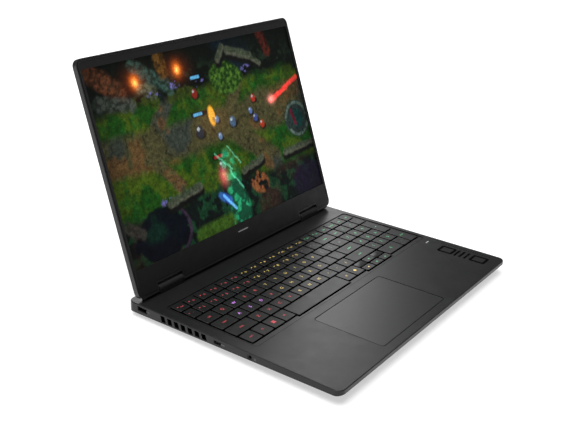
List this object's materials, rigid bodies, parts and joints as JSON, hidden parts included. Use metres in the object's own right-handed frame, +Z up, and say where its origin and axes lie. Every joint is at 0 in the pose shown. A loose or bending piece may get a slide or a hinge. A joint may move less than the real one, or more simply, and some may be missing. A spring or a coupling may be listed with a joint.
{
  "type": "laptop computer",
  "caption": "Slim dark laptop with a wide screen in a tilting lid, a full keyboard with number pad, a touchpad set left of centre and side and rear ports.",
  "frame": {"origin": "bottom centre of the bounding box, on the desk under the feet", "axes": "+X to the user's right, +Y from the user towards the hinges, +Z up"},
  "size_m": [0.357, 0.3418, 0.2629],
  "materials": {
    "dark_aluminium": "dark grey fine matte coat",
    "black_plastic": "fine matte texture",
    "keycap_plastic": "smooth matte with lit legends",
    "touchpad_surface": "satin",
    "display_glass": "semi-gloss with a lit picture behind it",
    "steel": "plain stamped",
    "bare_aluminium": "plain",
    "copper": "plain",
    "circuit_board": "solder mask",
    "battery_cells": "black wrap over pouch cells",
    "rubber": "matte"
  },
  "bodies": {
    "base": {"top_cover": "dark_aluminium", "bottom_cover": "black_plastic", "rear_grille": "black_plastic", "front_foot": "rubber", "rear_foot": "rubber", "usb_a_port_left": "steel", "usb_c_port": "steel", "usb_a_port_right": "steel", "hdmi_port": "steel", "audio_jack": "black_plastic", "power_inlet": "black_plastic", "keyboard_plate": "black_plastic", "keyboard_membrane": "rubber", "touchpad_bracket": "steel", "mainboard": "circuit_board", "battery": "battery_cells", "ssd": "circuit_board", "memory_module_1": "circuit_board", "memory_module_2": "circuit_board", "wifi_card": "circuit_board", "heat_pipes": "copper", "heatsink_left": "bare_aluminium", "heatsink_right": "bare_aluminium", "fan_housing_left": "black_plastic", "fan_housing_right": "black_plastic", "hinge_cover_left": "black_plastic", "hinge_bracket_left": "steel", "hinge_cover_right": "black_plastic", "hinge_bracket_right": "steel", "speaker_left": "black_plastic", "speaker_right": "black_plastic"},
    "lid": {"lid_cover": "dark_aluminium", "bezel": "black_plastic", "display_panel": "display_glass", "backlight_plate": "bare_aluminium", "webcam_module": "circuit_board", "hinge_arm_left": "steel", "hinge_arm_right": "steel", "lid_seal": "rubber"},
    "camera_shutter": {"camera_shutter": "black_plastic"},
    "touchpad": {"touchpad": "touchpad_surface"},
    "fan_rotor_left": {"fan_rotor_left": "black_plastic"},
    "fan_rotor_right": {"fan_rotor_right": "black_plastic"},
    "function_row_keys": {"function_row_keys": "keycap_plastic"},
    "number_row_keys": {"number_row_keys": "keycap_plastic"},
    "backspace_key": {"backspace_key": "keycap_plastic"},
    "upper_row_keys": {"upper_row_keys": "keycap_plastic"},
    "home_row_keys": {"home_row_keys": "keycap_plastic"},
    "enter_key": {"enter_key": "keycap_plastic"},
    "left_shift_key": {"left_shift_key": "keycap_plastic"},
    "lower_row_keys": {"lower_row_keys": "keycap_plastic"},
    "right_shift_key": {"right_shift_key": "keycap_plastic"},
    "modifier_keys_left": {"modifier_keys_left": "keycap_plastic"},
    "space_key": {"space_key": "keycap_plastic"},
    "modifier_keys_right": {"modifier_keys_right": "keycap_plastic"},
    "arrow_left_key": {"arrow_left_key": "keycap_plastic"},
    "arrow_down_key": {"arrow_down_key": "keycap_plastic"},
    "arrow_right_key": {"arrow_right_key": "keycap_plastic"},
    "arrow_up_key": {"arrow_up_key": "keycap_plastic"},
    "numpad_keys": {"numpad_keys": "keycap_plastic"}
  },
  "joints": [
    {"name": "lid_hinge", "type": "hinge", "parent": "base", "child": "lid", "pos_m": [0, 0.08541, 0.0208], "axis": [1, 0, 0], "range_deg": [-25.9, 109.1]},
    {"name": "camera_shutter_slide", "type": "slide", "parent": "lid", "child": "camera_shutter", "axis": [-1, 0, 0], "range_m": [0, 0.007]},
    {"name": "touchpad_click", "type": "slide", "parent": "base", "child": "touchpad", "axis": [0, 0, -1], "range_m": [0, 0.0005], "stiffness_N_per_m": 3000, "springref_m": -0.0003},
    {"name": "fan_left_spin", "type": "hinge", "parent": "base", "child": "fan_rotor_left", "pos_m": [-0.133, 0.01511, 0.007], "axis": [0, 0, 1], "continuous": true},
    {"name": "fan_right_spin", "type": "hinge", "parent": "base", "child": "fan_rotor_right", "pos_m": [0.133, 0.01511, 0.007], "axis": [0, 0, 1], "continuous": true},
    {"name": "function_row_keys_press", "type": "slide", "parent": "base", "child": "function_row_keys", "axis": [0, 0, -1], "range_m": [0, 0.0014], "stiffness_N_per_m": 2000, "springref_m": -0.0005},
    {"name": "number_row_keys_press", "type": "slide", "parent": "base", "child": "number_row_keys", "axis": [0, 0, -1], "range_m": [0, 0.0014], "stiffness_N_per_m": 2000, "springref_m": -0.0005},
    {"name": "backspace_key_press", "type": "slide", "parent": "base", "child": "backspace_key", "axis": [0, 0, -1], "range_m": [0, 0.0014], "stiffness_N_per_m": 400, "springref_m": -0.0005},
    {"name": "upper_row_keys_press", "type": "slide", "parent": "base", "child": "upper_row_keys", "axis": [0, 0, -1], "range_m": [0, 0.0014], "stiffness_N_per_m": 2000, "springref_m": -0.0005},
    {"name": "home_row_keys_press", "type": "slide", "parent": "base", "child": "home_row_keys", "axis": [0, 0, -1], "range_m": [0, 0.0014], "stiffness_N_per_m": 2000, "springref_m": -0.0005},
    {"name": "enter_key_press", "type": "slide", "parent": "base", "child": "enter_key", "axis": [0, 0, -1], "range_m": [0, 0.0014], "stiffness_N_per_m": 400, "springref_m": -0.0005},
    {"name": "left_shift_key_press", "type": "slide", "parent": "base", "child": "left_shift_key", "axis": [0, 0, -1], "range_m": [0, 0.0014], "stiffness_N_per_m": 400, "springref_m": -0.0005},
    {"name": "lower_row_keys_press", "type": "slide", "parent": "base", "child": "lower_row_keys", "axis": [0, 0, -1], "range_m": [0, 0.0014], "stiffness_N_per_m": 2000, "springref_m": -0.0005},
    {"name": "right_shift_key_press", "type": "slide", "parent": "base", "child": "right_shift_key", "axis": [0, 0, -1], "range_m": [0, 0.0014], "stiffness_N_per_m": 400, "springref_m": -0.0005},
    {"name": "modifier_keys_left_press", "type": "slide", "parent": "base", "child": "modifier_keys_left", "axis": [0, 0, -1], "range_m": [0, 0.0014], "stiffness_N_per_m": 2000, "springref_m": -0.0005},
    {"name": "space_key_press", "type": "slide", "parent": "base", "child": "space_key", "axis": [0, 0, -1], "range_m": [0, 0.0014], "stiffness_N_per_m": 400, "springref_m": -0.0005},
    {"name": "modifier_keys_right_press", "type": "slide", "parent": "base", "child": "modifier_keys_right", "axis": [0, 0, -1], "range_m": [0, 0.0014], "stiffness_N_per_m": 2000, "springref_m": -0.0005},
    {"name": "arrow_left_key_press", "type": "slide", "parent": "base", "child": "arrow_left_key", "axis": [0, 0, -1], "range_m": [0, 0.0014], "stiffness_N_per_m": 400, "springref_m": -0.0005},
    {"name": "arrow_down_key_press", "type": "slide", "parent": "base", "child": "arrow_down_key", "axis": [0, 0, -1], "range_m": [0, 0.0014], "stiffness_N_per_m": 400, "springref_m": -0.0005},
    {"name": "arrow_right_key_press", "type": "slide", "parent": "base", "child": "arrow_right_key", "axis": [0, 0, -1], "range_m": [0, 0.0014], "stiffness_N_per_m": 400, "springref_m": -0.0005},
    {"name": "arrow_up_key_press", "type": "slide", "parent": "base", "child": "arrow_up_key", "axis": [0, 0, -1], "range_m": [0, 0.0014], "stiffness_N_per_m": 400, "springref_m": -0.0005},
    {"name": "numpad_keys_press", "type": "slide", "parent": "base", "child": "numpad_keys", "axis": [0, 0, -1], "range_m": [0, 0.0014], "stiffness_N_per_m": 2000, "springref_m": -0.0005}
  ]
}
